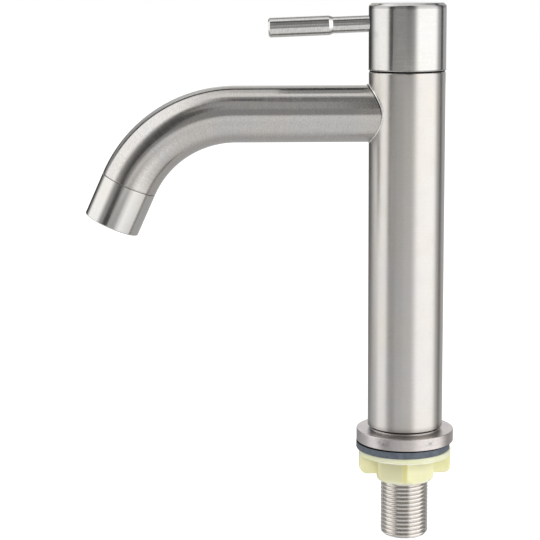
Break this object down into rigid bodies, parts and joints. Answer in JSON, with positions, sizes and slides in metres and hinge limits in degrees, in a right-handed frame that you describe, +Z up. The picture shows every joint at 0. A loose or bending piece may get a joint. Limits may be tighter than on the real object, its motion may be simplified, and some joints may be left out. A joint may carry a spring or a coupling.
{
  "type": "cold water tap",
  "caption": "Deck-mounted cold water tap: straight brushed steel column, bent side spout with outlet sleeve, quarter-turn lever handle, threaded shank, gasket and backnut.",
  "frame": {"origin": "centre of the flange's underside, on the deck plane and the column's axis", "axes": "+Z up along the column, -X along the spout and the closed lever"},
  "size_m": [0.1617, 0.043, 0.2361],
  "materials": {
    "column_steel": "fine brushed stainless steel",
    "spout_steel": "fine brushed stainless steel, brushed round the tube",
    "sleeve_steel": "fine brushed stainless steel",
    "handle_steel": "satin to bright polished stainless steel",
    "lever_steel": "turned and brushed stainless steel",
    "ring_steel": "bright edge",
    "flange_steel": "dull turned stainless steel with faint stains",
    "shank_steel": "bright rolled thread",
    "inner_steel": "machined stainless steel",
    "core_zinc": "as-cast light alloy",
    "brass": "machined brass",
    "ceramic": "lapped white alumina ceramic",
    "gasket_rubber": "matt dark blue-grey rubber",
    "seal_rubber": "matt black rubber",
    "nut_plastic": "cream translucent nylon, moulded",
    "aerator_plastic": "off-white moulded plastic"
  },
  "bodies": {
    "tap_body": {"base_flange": "flange_steel", "threaded_shank": "shank_steel", "riser_pipe": "inner_steel", "body_tube": "column_steel", "spout_tube": "spout_steel", "spout_end_ring": "inner_steel", "outlet_sleeve": "sleeve_steel", "aerator_washer": "seal_rubber", "aerator_insert": "aerator_plastic", "diffuser_plate": "aerator_plastic", "valve_housing": "inner_steel", "cartridge_body": "brass", "seat_seal": "seal_rubber", "housing_o_ring": "seal_rubber", "fixed_disc": "ceramic", "glide_ring": "ring_steel"},
    "handle": {"handle_shell": "handle_steel", "handle_core": "core_zinc", "grub_screw": "inner_steel", "lever": "lever_steel", "spindle": "brass", "moving_disc": "ceramic", "thrust_washer": "aerator_plastic", "spindle_clip": "inner_steel", "spindle_o_ring_lower": "seal_rubber", "spindle_o_ring_upper": "seal_rubber"},
    "gasket": {"base_gasket": "gasket_rubber"},
    "backnut": {"backnut": "nut_plastic"}
  },
  "joints": [
    {"name": "handle_turn", "type": "hinge", "parent": "tap_body", "child": "handle", "pos_m": [0, 0, 0.184], "axis": [0, 0, 1], "range_deg": [0, 90]},
    {"name": "gasket_slide", "type": "slide", "parent": "tap_body", "child": "gasket", "axis": [0, 0, 1], "range_m": [-0.02177, 0]},
    {"name": "backnut_spin", "type": "hinge", "parent": "gasket", "child": "backnut", "pos_m": [0, 0, -0.01], "axis": [0, 0, 1], "range_deg": [-4320, 0]}
  ],
  "couplings": [
    {"joint": "gasket_slide", "follows": "backnut_spin", "m_per_rad": 0.00028877}
  ]
}
